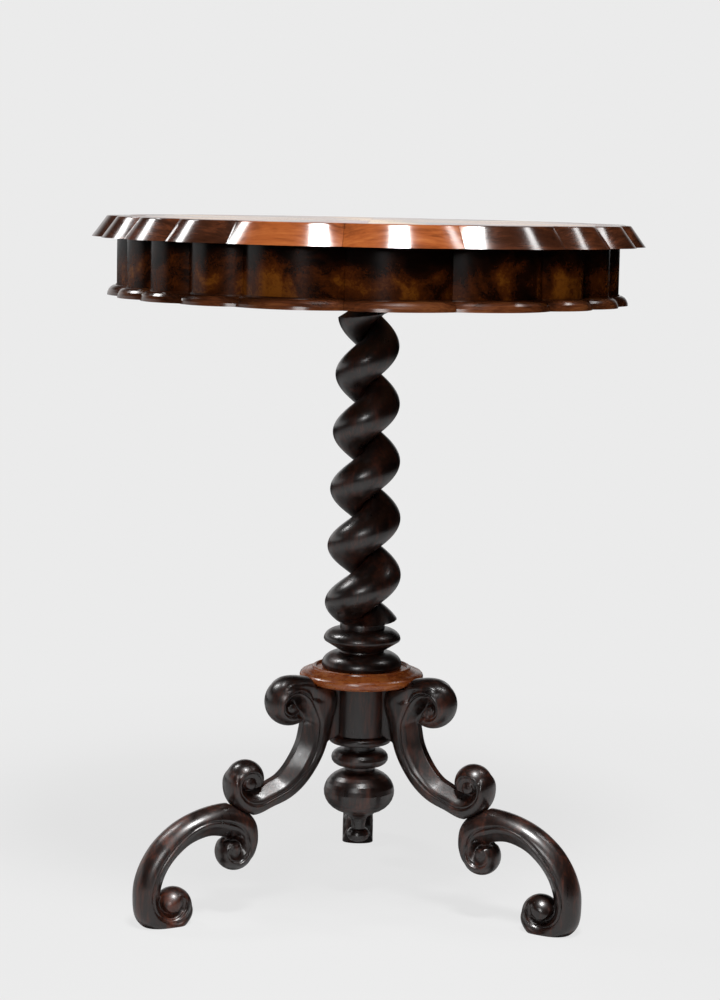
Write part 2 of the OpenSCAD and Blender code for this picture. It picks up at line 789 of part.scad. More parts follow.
module dowel_forms(grow) {
    translate([seam[0], 0, seam[1]])
        rotate([0, -seam_angle, 0])
            for (x = [-8, 8])
                translate([x, 0, -dowel_l / 2 - grow])
                    cylinder(r = dowel_r + grow, h = dowel_l + 2 * grow);
}

module upper_scroll(angle) {
    path = smooth_path(concat(winding(head_roll, head_roll_r, HEAD_WIND), band(UPPER_BAND, upper_t),
        winding(knee_top_roll, roll_r, UPPER_WIND)), 3);
    color("black")
        rotate([0, 0, angle]) {
            difference() {
                union() {
                    scroll_band(path, upper_w, UPPER_SECTION);
                    roll(head_roll, head_roll_r);
                    roll(knee_top_roll, roll_r);
                    translate([0, tongue_w / 2, 0])
                        rotate([90, 0, 0])
                            linear_extrude(tongue_w)
                                polygon([[hub_r - 2, leg_h + 1], [leg_x(56), leg_h + 1], [leg_x(60), tongue_z],
                                    [leg_x(45), tongue_z], [hub_r - 2, tongue_z + 6]]);
                }
                translate([0, 0, hub_z])
                    cylinder(r = hub_r + glue_gap, h = hub_h + 60);
                translate([0, 0, leg_h])
                    cylinder(r = collar_r + 0.6, h = 60);
                under_seam();
                dowel_forms(glue_gap);
            }
            leg_tenon(0);
        }
}

module lower_scroll(angle) {
    path = smooth_path(concat(winding(foot_roll, roll_r, LOWER_WIND_FOOT), band(LOWER_BAND, lower_t),
        winding(knee_roll, roll_r, LOWER_WIND_KNEE)), 3);
    color("black")
        rotate([0, 0, angle])
            difference() {
                union() {
                    scroll_band(path, lower_w, LOWER_SECTION);
                    roll(foot_roll, roll_r);
                    roll(knee_roll, roll_r);
                }
                over_seam();
                dowel_forms(glue_gap);
                translate([0, -FAR, -FAR])
                    cube([FAR, 2 * FAR, FAR]);
            }
}

module knee_dowels() {
    color("tan")
        for (angle = LEG_ANGLES)
            rotate([0, 0, angle])
                dowel_forms(0);
}

hub();
collar_disc();
column();
pendant();
upper_scroll(LEG_ANGLES[0]);  // upper_scroll_rear
upper_scroll(LEG_ANGLES[1]);  // upper_scroll_left
upper_scroll(LEG_ANGLES[2]);  // upper_scroll_right
lower_scroll(LEG_ANGLES[0]);  // lower_scroll_rear
lower_scroll(LEG_ANGLES[1]);  // lower_scroll_left
lower_scroll(LEG_ANGLES[2]);  // lower_scroll_right
knee_dowels();
tilt_block();
tenon_wedge();
pivot_pins();
catch_keeper();
keeper_screws();
top_board();
frieze_ring();
rim_lobes(true);  // rim_wide_lobes
rim_lobes(false);  // rim_narrow_lobes
frieze_lobes(true);  // frieze_wide_lobes
frieze_lobes(false);  // frieze_narrow_lobes
base_lobes(true);  // base_wide_lobes
base_lobes(false);  // base_narrow_lobes
specimens(0);  // specimens_satinwood
specimens(1);  // specimens_ebony
specimens(2);  // specimens_calamander
specimens(3);  // specimens_tamarind
specimens(4);  // specimens_jak
specimens(5);  // specimens_nedun
specimens(6);  // specimens_palmyra
specimens(7);  // specimens_padouk
specimen_border();
centre_roundel();
bearer(-1);  // bearer_left
bearer(1);  // bearer_right
bearer_screws();
catch_case();
catch_screws();
catch_bolt();
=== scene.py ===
"""Looks of the specimen table: polished woods, a finer barley twist and carved scrolls."""

import json
import math

import bmesh
import bpy
import numpy as np
from mathutils import Matrix, Vector


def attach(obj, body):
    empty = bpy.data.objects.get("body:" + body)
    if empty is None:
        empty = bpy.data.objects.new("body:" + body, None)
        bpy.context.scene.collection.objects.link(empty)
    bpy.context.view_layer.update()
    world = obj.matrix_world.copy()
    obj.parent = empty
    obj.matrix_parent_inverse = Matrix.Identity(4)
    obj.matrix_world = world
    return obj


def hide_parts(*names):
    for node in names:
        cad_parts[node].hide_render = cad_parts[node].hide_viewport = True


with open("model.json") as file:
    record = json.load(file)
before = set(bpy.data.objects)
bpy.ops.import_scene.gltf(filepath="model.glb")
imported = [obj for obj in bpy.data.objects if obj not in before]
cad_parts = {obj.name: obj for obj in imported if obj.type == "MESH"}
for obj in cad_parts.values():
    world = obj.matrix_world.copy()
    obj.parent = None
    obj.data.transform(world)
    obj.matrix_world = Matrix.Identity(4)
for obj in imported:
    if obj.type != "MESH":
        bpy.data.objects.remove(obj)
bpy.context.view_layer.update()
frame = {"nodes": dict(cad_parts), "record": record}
MM = 0.001


# CAMERA
# The photograph was taken from just above the height of the top, with a long lens.

PHOTO_H = 1000
FOCAL_PX = 2400
SENSOR = 36
CAMERA_AT = Vector((-5.3, -2540, 762.5)) * MM
CAMERA_DOWN = 7.36
CAMERA_ROLL = 1.17


def make_camera():
    data = bpy.data.cameras.new("camera")
    data.sensor_width = SENSOR
    data.lens = FOCAL_PX / PHOTO_H * SENSOR
    data.clip_end = 100
    camera = bpy.data.objects.new("camera", data)
    bpy.context.scene.collection.objects.link(camera)
    tilt = Matrix.Rotation(math.radians(90 - CAMERA_DOWN), 4, "X")
    roll = Matrix.Rotation(math.radians(CAMERA_ROLL), 4, "Z")
    camera.matrix_world = Matrix.Translation(CAMERA_AT) @ tilt @ roll
    bpy.context.scene.camera = camera


# BARLEY TWIST COLUMN
# One closed tube of rings about the column's axis. Heights and radii are in mm.

TENON_R = 14
COLUMN_FOOT, TWIST_FOOT, TWIST_HEAD, COLUMN_HEAD = 254.2, 301.1, 636.1, 675.1
TENON_FOOT, TENON_HEAD = 191.3, 709.1
TWIST_PITCH = 61.3
CREST_ABOVE_FOOT = 100.6
CREST_FOOT_R, CREST_HEAD_R, GROOVE_R = 41.5, 32.2, 2.6
FOOT_NECK_R, HEAD_NECK_R, CAP_R = 24.2, 21.5, 36
# The strand runs out into each neck over this height, and its groove a little further
FOOT_RUN_OUT, HEAD_RUN_OUT, GROOVE_RUN_OUT = 8.5, 7.5, 1.3
UNDER_NECK = 0.4
# 1 is the plain solid's strand, and less makes it rounder and fuller
STRAND_FULLNESS = 0.65
# A quarter round is the height of its centre, how far it stands out, and its own height
CUSHION, RING = (256.7, 18.9, 14.2), (284.6, 17.1, 11.7)
HEAD_BEAD, CAP_COVE = (656.1, 4, 3), (672.1, 12.5, 13)
CUSHION_EDGE, COVE_FOOT, RING_EDGE = (42.3, COLUMN_FOOT), (23.6, 272.3), (40.5, 282.96)
HEAD_NECK_TOP, CAP_FILLET = 653.1, 2
AROUND = 96
SHARP_TURNING = 50


def quarter_turns(cx, cz, rx, rz, start, end, steps=12):
    """Points of an elliptical moulding from one angle to the other."""
    angles = np.radians(np.linspace(start, end, steps + 1))
    return [(cx + rx * math.cos(a), cz + rz * math.sin(a)) for a in angles]


def ease(t):
    t = np.clip(t, 0, 1)
    return t * t * (3 - 2 * t)


def twist_radius(z, from_crest):
    """Radius of the single strand: round at its crest, deep at its groove, and run out at both necks."""
    up, down = z - TWIST_FOOT, TWIST_HEAD - z
    full = CREST_FOOT_R + (CREST_HEAD_R - CREST_FOOT_R) * up / (TWIST_HEAD - TWIST_FOOT)
    foot, head = FOOT_NECK_R - UNDER_NECK, HEAD_NECK_R - UNDER_NECK
    out_foot = foot + (full - foot) * math.sin(math.pi / 2 * min(up / FOOT_RUN_OUT, 1))
    out_head = head + (full - head) * min(down / HEAD_RUN_OUT, 1)
    in_foot = foot + (GROOVE_R - foot) * ease(up / FOOT_RUN_OUT / GROOVE_RUN_OUT)
    in_head = head + (GROOVE_R - head) * ease(down / HEAD_RUN_OUT / GROOVE_RUN_OUT)
    strand = GROOVE_R + (full - GROOVE_R) * np.maximum(np.cos(from_crest / 2), 0) ** STRAND_FULLNESS
    return np.maximum(max(in_foot, in_head), np.minimum(strand, min(out_foot, out_head)))


def make_column():
    """The rings climb one row for each step round, so that the edges between them follow the groove."""
    climb = TWIST_PITCH / AROUND
    phase = 2 * math.pi * (TWIST_FOOT - COLUMN_FOOT - CREST_ABOVE_FOOT) / TWIST_PITCH
    angles = phase + 2 * math.pi * np.arange(AROUND) / AROUND
    profile = [(TENON_R, TENON_FOOT), (TENON_R, COLUMN_FOOT - 0.1), CUSHION_EDGE]
    profile += quarter_turns(FOOT_NECK_R, *CUSHION, 0, 90)
    profile += [COVE_FOOT, RING_EDGE] + quarter_turns(FOOT_NECK_R, *RING, 0, 90)
    rings = [(np.full(AROUND, r), z) for r, z in profile]
    for row in range(int((TWIST_HEAD - TWIST_FOOT) / climb) + 1):
        from_crest = 2 * math.pi * ((np.arange(AROUND) - row) % AROUND) / AROUND
        from_crest = np.where(from_crest > math.pi, from_crest - 2 * math.pi, from_crest)
        z = TWIST_FOOT + row * climb
        rings.append((twist_radius(z, from_crest), z))
    profile = [(HEAD_NECK_R, TWIST_HEAD + 0.3), (HEAD_NECK_R, HEAD_NECK_TOP)]
    profile += quarter_turns(HEAD_NECK_R, *HEAD_BEAD, -90, 90)
    profile += quarter_turns(HEAD_NECK_R + CAP_FILLET, *CAP_COVE, -90, 0)
    profile += [(CAP_R, COLUMN_HEAD), (TENON_R, COLUMN_HEAD + 0.1), (TENON_R, TENON_HEAD)]
    rings += [(np.full(AROUND, r), z) for r, z in profile]
    points = np.vstack([np.stack([r * np.cos(angles), r * np.sin(angles), np.full(AROUND, z)], 1)
                        for r, z in rings]) * MM
    step = np.arange(AROUND)
    after = (step + 1) % AROUND
    faces = []
    for row in range(len(rings) - 1):
        low, high = row * AROUND, (row + 1) * AROUND
        faces += list(zip(low + step, low + after, high + after))
        faces += list(zip(low + step, high + after, high + step))
    last = (len(rings) - 1) * AROUND
    faces = [tuple(int(i) for i in face) for face in faces]
    faces += [tuple(range(AROUND))[::-1], tuple(range(last, last + AROUND))]
    mesh = bpy.data.meshes.new("turned_column")
    mesh.from_pydata([tuple(p) for p in points], [], faces)
    mesh.polygons.foreach_set("use_smooth", [True] * (len(faces) - 2) + [False] * 2)
    mesh.set_sharp_from_angle(angle=math.radians(SHARP_TURNING))
    return mesh


# CARVED SCROLLS
# Each is drawn in its leg's own plane: x out from the column, y across, z up, in mm.

LEG_TURNS = {"rear": 90, "left": 210, "right": 330}
SEAM_AT, SEAM_RISE = (145, 112.8), 27.3
HUB_R, COLLAR_R, COLLAR_FOOT = 31.1, 67.1, 238

# A ball is its centre, radius and half width, and a filler is a ball that fills the inside of a bend. A winding
# row is the angle round its ball, the outer and inner radius as shares of the ball's, and the half width. A band
# row is a place on its centre line and the thickness. A spiral row is the angle and radius about the eye of the
# line that parts the bead from the dome, and the crease is the same line along the band. A level is a volute's
# half width, and a boss is the radius and height of the bead in its eye. The spirals and creases were traced
# square on to the leg.
UPPER = {
    "half": 16.5,
    "balls": [(88.5, 223.8, 26, 25), (139.2, 145, 20.4, 20)],
    "fillers": [(61, 221, 13, 17)],
    "windings": [
        [[30, 0.9, 0.5, 13], [55, 0.96, 0.45, 17], [78, 1.01, 0.42, 18.5], [100, 1.05, 0.4, 19],
         [126, 1.17, 0.5, 18], [150, 1.45, 0.72, 17]],
        [[-107, 2.02, 0.92, 16.5], [-80, 1.72, 0.8, 17], [-50, 1.39, 0.6, 17.5], [-14, 1.11, 0.45, 17.5],
         [15, 1.02, 0.42, 15], [45, 0.94, 0.5, 11]]],
    "band": [[47.4, 225, 29.4], [53.8, 203.7, 34.6], [61.5, 172.9, 34], [75.9, 148.7, 32.6], [92.4, 133.2, 30.1],
             [112.4, 124.4, 27.3]],
    "eyes": [(91, 218.5), (138, 141)],
    "spirals": [
        [[-450, 3.4], [-405, 4.2], [-360, 5.2], [-315, 6.4], [-270, 7.8], [-225, 8.9], [-180, 9.3], [-120, 8.7],
         [-82, 8.4], [-52, 8.8], [-28, 9.6], [-3, 10.5], [29, 11.4], [57, 13], [82, 15.1], [103, 17.4],
         [124, 19.6], [144, 21.1], [161, 23.2], [179, 27]],
        [[-132, 26.8], [-115, 23.5], [-95, 20.9], [-74, 17.7], [-53, 15.7], [-31, 14.6], [-8, 13.6], [15, 13.5],
         [39, 13.5], [63, 13.2], [90, 13], [120, 12.8], [151, 12.5], [180, 12], [225, 10.5], [270, 8.7],
         [315, 8.2], [360, 8], [405, 7.6], [450, 7], [495, 6.3], [540, 5.5], [585, 4.6], [630, 3.8]]],
    "crease": [[58, 203], [57.2, 193], [58.6, 181], [61.5, 170], [66.2, 160], [72.2, 150], [80.5, 142],
               [91, 133.5], [102, 128]],
    "levels": [17, 15.5],
    "bosses": [(3.2, 1.4), (5.5, 2.5)],
}
LOWER = {
    "half": 18,
    "balls": [(222.1, 18.1, 20.4, 20), (151.3, 68.5, 20.4, 20)],
    "fillers": [],
    "windings": [
        [[165, 0.94, 0.5, 11], [195, 1.02, 0.5, 14.5], [225, 1.07, 0.45, 16.5], [262, 1.2, 0.5, 18],
         [298, 1.38, 0.6, 18], [328, 1.73, 0.8, 18], [352, 2.06, 0.92, 18]],
        [[76, 2.62, 0.92, 18], [97, 2.28, 0.9, 18], [118, 1.94, 0.85, 18], [142, 1.44, 0.6, 18],
         [168, 1.13, 0.48, 16.5], [195, 1.02, 0.45, 14], [220, 0.94, 0.5, 11]]],
    "band": [[252.4, 33, 27.2], [250, 48, 28], [242.5, 65, 28], [229.7, 81, 28], [209.5, 95.5, 27.5],
             [184.3, 103.5, 29.4]],
    "eyes": [(227, 25), (155, 74)],
    "spirals": [
        [[-504, 11.8], [-469, 12.2], [-437, 13.3], [-402, 13.4], [-373, 13.8], [-344, 14.6], [-318, 14.9],
         [-290, 14.9], [-258, 14.8], [-228, 14.9], [-200, 14.9], [-172, 15.1], [-149, 15.7], [-128, 16.4],
         [-107, 17.2], [-87, 17.8], [-68, 18.4], [-48, 19.5], [-30, 20.9], [-13, 22.1], [7, 24.2]],
        [[78, 29.1], [96, 24.1], [116, 20.6], [135, 17.7], [157, 15.4], [182, 14.5], [205, 14.3], [228, 14.2],
         [251, 14.2], [274, 14], [297, 13.4], [322, 12.1], [349, 10.7], [382, 9.2], [417, 8.3], [457, 8.5],
         [490, 8.5], [533, 7.6], [568, 7.4], [610, 7.4], [653, 6.5], [680, 6], [720, 5.2]]],
    "crease": [[252.5, 33], [251, 43.5], [246.5, 55.5], [240, 67.5], [230, 80.5], [220, 90.8], [210, 98.2],
               [200, 103.3], [190, 106.3], [180, 107], [170, 105.5]],
    "levels": [15.5, 15.5],
    "bosses": [(11, 5), (4.5, 2)],
}
# Half width across the mouldings as a share of the whole: place from the crease over the bead and the hollow to
# the narrow face, then the share on the band and on a volute
MOULDING = np.array([[0, 0.8, 0.8], [0.03, 0.88, 0.88], [0.08, 0.96, 0.965], [0.14, 0.985, 0.99],
                     [0.2, 0.94, 0.955], [0.235, 0.89, 0.915], [0.27, 0.885, 0.92], [0.32, 0.87, 0.93],
                     [0.42, 0.77, 0.9], [0.55, 0.65, 0.88], [0.7, 0.52, 0.87], [0.85, 0.39, 0.865],
                     [0.96, 0.3, 0.84], [1, 0.26, 0.8]])
CREASE_SHARE = 0.8
CELL = 0.35
UNCARVED = 999.0
REMESH_MM = 0.85
SHARP_CARVING = 60
# The crease turns from band to volute over this many degrees of winding, and its dome and level over fewer. Near
# the eye the dome is undercut.
VOLUTE_BY, LEVEL_BY, UNDERCUT_FROM = 200, 60, 300
DOME_ROUND, DOME_SWELL, UNDERCUT_ROUND = 3, 5, 0.5
# The map is walked in small steps, past the narrow face on the band and some way over the dome, then spread and
# blurred by whole cells
WALK, PAST_FACE, PAST_CREASE, DOME_TOP = 0.2, 3, 14, 30
MAP_MARGIN, SPREADS, BLURS = 12, 26, 2
UNDERCUT_UNDER, UNDERCUT_REACH = 0.9, 0.9
EYE_FLOOR = 0.84
NO_LIMIT, FLAT_SHARE = 60, 0.4
# Inside the head the scroll has a block against the hub and a tenon in it, as x and z outlines
BLOCK, BLOCK_HALF = [(29, 239), (56, 239), (60, 177), (45, 177), (29, 183)], 8
TENON, TENON_HALF = [(17, 233), (37, 233), (37, 189), (17, 189)], 5


def smooth_curve(rows, steps):
    """A smooth curve through rows of numbers, with this many places from one row to the next."""
    rows = np.array(rows, float)
    rows = np.vstack([2 * rows[0] - rows[1], rows, 2 * rows[-1] - rows[-2]])
    t = (np.arange(steps) / steps)[:, None]
    out = [(2 * b + (c - a) * t + (2 * a - 5 * b + 4 * c - d) * t * t + (3 * b - a - 3 * c + d) * t ** 3) / 2
           for a, b, c, d in zip(rows, rows[1:], rows[2:], rows[3:])]
    return np.vstack(out + [rows[-2:-1]])


def centre_line(scroll):
    """Rows of x, z, thickness, half width and how far the section is rounded on its narrow face too."""
    ends = []
    for (x, z, r, _), rows in zip(scroll["balls"], scroll["windings"]):
        middle = [(math.radians(a), r * (outer + inner) / 2) for a, outer, inner, _ in rows]
        ends.append([[x + m * math.cos(a), z + m * math.sin(a), r * (outer - inner), half,
                      1 if outer < 1.3 else 0.5 if outer < 1.6 else 0]
                     for (a, m), (_, outer, inner, half) in zip(middle, rows)])
    band = [row + [scroll["half"], 0] for row in scroll["band"]]
    return smooth_curve(ends[0] + band + ends[1], 12)


def way_to_back(path):
    """For each place on the centre line, the way to the rounded back in the leg's plane."""
    ahead = np.gradient(path[:, :2], axis=0)
    ahead /= np.linalg.norm(ahead, axis=1)[:, None]
    return np.stack([ahead[:, 1], -ahead[:, 0]], 1)


def sweep_band(mesh, path):
    """A closed tube along the centre line: full width at its narrow face and round on its back."""
    t = -np.cos(np.linspace(0, math.pi, 22))
    band = np.where(t < -0.15, 1, np.sqrt(np.clip(1 - ((t + 0.15) / 1.15) ** 2, 0, 1)))
    winding = np.sqrt(np.clip(1 - t * t, 0, 1))
    band[0], band[-1], winding[0], winding[-1] = 0.9, 0.05, 0.05, 0.05
    rings = []
    for (x, z, thick, half, rounded), (bx, bz) in zip(path, way_to_back(path)):
        wide = half * (band + (winding - band) * rounded)
        px, pz = x + bx * t * thick / 2, z + bz * t * thick / 2
        ring = list(zip(px, wide, pz)) + list(zip(px[::-1], -wide[::-1], pz[::-1]))
        rings.append([mesh.verts.new(p) for p in ring])
    count = len(rings[0])
    for low, high in zip(rings, rings[1:]):
        for i in range(count):
            mesh.faces.new((low[i], low[(i + 1) % count], high[(i + 1) % count], high[i]))
    mesh.faces.new(rings[0][::-1])
    mesh.faces.new(rings[-1])


def add_slab(mesh, outline, half):
    """A flat piece with this outline in the leg's plane and this half width."""
    near, far = ([mesh.verts.new((x, y, z)) for x, z in outline] for y in (-half, half))
    mesh.faces.new(near)
    mesh.faces.new(far[::-1])
    for i in range(len(outline)):
        after = (i + 1) % len(outline)
        mesh.faces.new((near[i], far[i], far[after], near[after]))


def spiral_line(eye, rows, winds_in):
    """The volute's crease as rows of x, z and the same of the line one turn further in. winds_in is 1 where the
    angles fall toward the eye and -1 where they rise."""
    rows = np.array(sorted(rows), float)
    angles = np.arange(rows[0, 0], rows[-1, 0] + 1, 6.0)
    radius = np.interp(angles, rows[:, 0], rows[:, 1])
    window = np.hanning(9)
    radius = np.convolve(np.pad(radius, 4, mode="reflect", reflect_type="odd"), window / window.sum(), "valid")
    inner = np.interp(angles - 360 * winds_in, angles, radius, left=0, right=0)
    way = np.stack([np.cos(np.radians(angles)), np.sin(np.radians(angles))], 1)
    return angles, np.hstack([eye + way * radius[:, None], eye + way * inner[:, None]])


def carving_stations(scroll, path):
    """Places along the crease from the first eye to the last: x, z, inner x and z, half width, rounding of the
    dome beside it, and how far it is a volute. The hollow runs on into the volute and dies out under the eye."""
    narrow_face = path[:, :2] - way_to_back(path) * path[:, 2:3] / 2

    def volute(angles, line, wound_in, level):
        share = ease(wound_in / VOLUTE_BY)
        half = scroll["half"] + (level - scroll["half"]) * ease(wound_in / LEVEL_BY)
        dome = np.where(wound_in < UNDERCUT_FROM, DOME_ROUND + DOME_SWELL * ease(wound_in / LEVEL_BY),
                        UNDERCUT_ROUND)
        return np.hstack([line, np.stack([half, dome, share], 1)])

    angles, line = spiral_line(scroll["eyes"][0], scroll["spirals"][0], 1)
    first = volute(angles, line, angles[-1] - angles, scroll["levels"][0])
    band = []
    for x, z in scroll["crease"]:
        inner = narrow_face[np.argmin(np.hypot(narrow_face[:, 0] - x, narrow_face[:, 1] - z))]
        band.append([x, z, *inner, scroll["half"], DOME_ROUND, 0])
    angles, line = spiral_line(scroll["eyes"][1], scroll["spirals"][1], -1)
    return np.vstack([first, band, volute(angles, line, angles - angles[0], scroll["levels"][1])])


def carving_map(scroll, path):
    """Greatest half width after carving, over a grid in the leg's plane."""
    rows = smooth_curve(carving_stations(scroll, path), 24)
    gone = np.concatenate([[0], np.cumsum(np.hypot(*np.diff(rows[:, :2], axis=0).T))])
    rows = np.stack([np.interp(np.arange(0, gone[-1], WALK), gone, column) for column in rows.T], 1)
    low = rows[:, :2].min(axis=0) - MAP_MARGIN
    size = np.ceil((rows[:, :2].max(axis=0) + MAP_MARGIN - low) / CELL).astype(int) + 2
    grid = np.full(size, UNCARVED)

    def lower_to(places, widths):
        spot = np.round((places - low) / CELL).astype(int)
        inside = np.all((spot >= 0) & (spot < size), axis=1)
        np.minimum.at(grid, tuple(spot[inside].T), widths[inside])

    way = rows[:, 2:4] - rows[:, :2]
    width = np.maximum(np.hypot(*way.T), 1e-6)
    way /= width[:, None]
    reach = width + PAST_FACE * (1 - rows[:, 6])
    for d in np.arange(0, reach.max() + WALK, WALK):
        use = reach >= d
        on_band, on_volute = (np.interp(d / width[use], MOULDING[:, 0], MOULDING[:, c]) for c in (1, 2))
        share = on_band + (on_volute - on_band) * rows[use, 6]
        lower_to(rows[use, :2] + way[use] * d, rows[use, 4] * share)
    rounding = rows[:, 5]
    for d in np.arange(WALK, PAST_CREASE, WALK):
        dome = rows[:, 4] * CREASE_SHARE + np.sqrt(2 * np.maximum(rounding, 0) * d)
        use = (rounding >= 0) & (dome < DOME_TOP) & ((rounding > UNDERCUT_UNDER) | (d < UNDERCUT_REACH))
        lower_to((rows[:, :2] - way * d)[use], dome[use])
    across = np.moveaxis(np.indices(grid.shape), 0, -1) * CELL + low
    for eye, (r, height), level in zip(scroll["eyes"], scroll["bosses"], scroll["levels"]):
        out = np.hypot(*np.moveaxis(across - eye, -1, 0))
        bead = level * EYE_FLOOR + height * np.sqrt(np.clip(1 - (out / r) ** 2, 0, 1))
        grid = np.where(out < r, bead, grid)
    for spread in range(SPREADS + BLURS):
        known = grid < UNCARVED - 1
        if spread < SPREADS:
            total = sum(np.roll(np.where(known, grid, 0), k, a) for k in (-1, 1) for a in (0, 1))
            count = sum(np.roll(known.astype(float), k, a) for k in (-1, 1) for a in (0, 1))
            grid = np.where(~known & (count > 0), total / np.maximum(count, 1), grid)
        else:
            shifts = [(i, j, (2 - abs(i)) * (2 - abs(j))) for i in (-1, 0, 1) for j in (-1, 0, 1)]
            total = sum(w * np.roll(np.where(known, grid, 0), (i, j), (0, 1)) for i, j, w in shifts)
            count = sum(w * np.roll(known.astype(float), (i, j), (0, 1)) for i, j, w in shifts)
            grid = np.where(known, total / np.maximum(count, 1), grid)
    return low, grid


def carve(points, low, grid, soft=0.5):
    """Brings the half width of each point down to the carving map, with a slightly worn edge."""
    place = (points[:, [0, 2]] - low) / CELL
    spot = np.floor(place).astype(int)
    inside = np.all((spot >= 0) & (spot < np.array(grid.shape) - 1), axis=1)
    i, j = np.where(inside[:, None], spot, 0).T
    u, v = (place - spot).T
    limit = (grid[i, j] * (1 - u) * (1 - v) + grid[i + 1, j] * u * (1 - v)
             + grid[i, j + 1] * (1 - u) * v + grid[i + 1, j + 1] * u * v)
    limit = np.where(inside & (limit < NO_LIMIT), limit, UNCARVED + 1)
    half = np.abs(points[:, 1])
    worn = np.minimum(half, limit) - soft * np.log1p(np.exp(-np.abs(half - limit) / soft))
    half = np.where(half < FLAT_SHARE * limit, half, np.maximum(worn, 0))
    points[:, 1] = np.sign(points[:, 1]) * half
    return points


def fit_to_turnings(points):
    """Cuts the scroll back to the hub and to the disc over it, as the joiner scribes it. The tenon stays."""
    x, y, z = points.T
    out = np.hypot(x, y)
    (_, top), (end, _), (_, foot), _ = TENON
    tenon = (np.abs(y) < TENON_HALF + 0.6) & (z > foot - 1) & (z < top + 1) & (x < end + 3)
    in_hub = (out < HUB_R) & ~tenon & (x > 0)
    points[in_hub, :2] *= (HUB_R / out[in_hub])[:, None]
    out = np.hypot(points[:, 0], points[:, 1])
    in_disc = (out < COLLAR_R) & (z > COLLAR_FOOT)
    under = in_disc & (z - COLLAR_FOOT < COLLAR_R - out)
    points[under, 2] = COLLAR_FOOT
    beside = in_disc & ~under
    points[beside, :2] *= (COLLAR_R / out[beside])[:, None]
    return points


def drop_hollows(mesh):
    """Keeps the outer skin alone, so that carving opens no hollow inside."""
    outer = {max(mesh.verts, key=lambda v: v.co.x)}
    edge = list(outer)
    while edge:
        edge = [w for v in edge for e in v.link_edges for w in (e.other_vert(v),)
                if w not in outer and not outer.add(w)]
    bmesh.ops.delete(mesh, geom=[v for v in mesh.verts if v not in outer], context="VERTS")


def soften(mesh, times):
    for _ in range(times):
        bmesh.ops.smooth_vert(mesh, verts=mesh.verts, factor=0.5, use_axis_x=True, use_axis_y=True,
                              use_axis_z=True)


def carved_scroll(name, scroll, tenoned):
    """One carved scroll in its leg's plane, in metres: band, windings and balls made one, then carved."""
    path = centre_line(scroll)
    shape = bmesh.new()
    sweep_band(shape, path)
    for x, z, r, half in scroll["balls"] + scroll["fillers"]:
        place = Matrix.Translation((x, 0, z)) @ Matrix.Diagonal((r, half, r, 1))
        bmesh.ops.create_uvsphere(shape, u_segments=64, v_segments=48, radius=1, matrix=place)
    if tenoned:
        add_slab(shape, BLOCK, BLOCK_HALF)
        add_slab(shape, TENON, TENON_HALF)
    bmesh.ops.recalc_face_normals(shape, faces=shape.faces)
    mesh = bpy.data.meshes.new(name)
    shape.to_mesh(mesh)
    shape.free()
    blank = bpy.data.objects.new(name, mesh)
    bpy.context.scene.collection.objects.link(blank)
    remesh = blank.modifiers.new("one_solid", "REMESH")
    remesh.mode = "VOXEL"
    remesh.voxel_size = REMESH_MM
    solid = bpy.data.meshes.new_from_object(blank.evaluated_get(bpy.context.evaluated_depsgraph_get()))
    bpy.data.objects.remove(blank)
    bpy.data.meshes.remove(mesh)

    shape = bmesh.new()
    shape.from_mesh(solid)
    drop_hollows(shape)
    soften(shape, 3)
    shape.to_mesh(solid)
    points = np.empty(len(solid.vertices) * 3)
    solid.vertices.foreach_get("co", points)
    points = carve(points.reshape(-1, 3), *carving_map(scroll, path))
    solid.vertices.foreach_set("co", points.ravel())
    shape.clear()
    shape.from_mesh(solid)
    soften(shape, 2)
    rise = math.radians(SEAM_RISE)
    seam_up = Vector((-math.sin(rise), 0, math.cos(rise)))
    cuts = [(Vector((SEAM_AT[0], 0, SEAM_AT[1])), -seam_up if tenoned else seam_up)]
    if not tenoned:
        cuts.append((Vector((0, 0, 0)), Vector((0, 0, -1))))
    for place, way in cuts:
        cut = bmesh.ops.bisect_plane(shape, geom=shape.verts[:] + shape.edges[:] + shape.faces[:],
                                     plane_co=place, plane_no=way, clear_outer=True)
        rim = [edge for edge in cut["geom_cut"] if isinstance(edge, bmesh.types.BMEdge)]
        bmesh.ops.holes_fill(shape, edges=rim, sides=0)
    for face in shape.faces:
        face.smooth = len(face.verts) < 5
    shape.to_mesh(solid)
    shape.free()
    if tenoned:
        points = np.empty(len(solid.vertices) * 3)
        solid.vertices.foreach_get("co", points)
        solid.vertices.foreach_set("co", fit_to_turnings(points.reshape(-1, 3)).ravel())
    solid.transform(Matrix.Scale(MM, 4))
    solid.set_sharp_from_angle(angle=math.radians(SHARP_CARVING))
    return solid


def turned_and_carved():
    """The column and the scrolls in full detail. Each takes the place of its plain CAD solid, and differs from
    it: the twist is fuller and the scrolls are carved."""
    pieces = [("twisted_column", "column", make_column(), 0)]
    for kind, scroll, tenoned in (("upper", UPPER, True), ("lower", LOWER, False)):
        mesh = carved_scroll(f"carved_{kind}_scroll", scroll, tenoned)
        for leg, turn in LEG_TURNS.items():
            pieces.append((f"carved_{kind}_scroll_{leg}", f"{kind}_scroll_{leg}", mesh.copy(), turn))
        bpy.data.meshes.remove(mesh)
    made = []
    for name, node, mesh, turn in pieces:
        mesh.name = name
        mesh.transform(Matrix.Rotation(math.radians(turn), 4, "Z"))
        piece = bpy.data.objects.new(name, mesh)
        bpy.context.scene.collection.objects.link(piece)
        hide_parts(node)
        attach(piece, "base")
        made.append(piece)
    return made


# MATERIAL TOOLS

def srgb(code):
    """Linear colour of an sRGB hex value such as 8a4a22."""
    parts = [int(code[i:i + 2], 16) / 255 for i in (0, 2, 4)]
    return [p / 12.92 if p < 0.04045 else ((p + 0.055) / 1.055) ** 2.4 for p in parts] + [1]


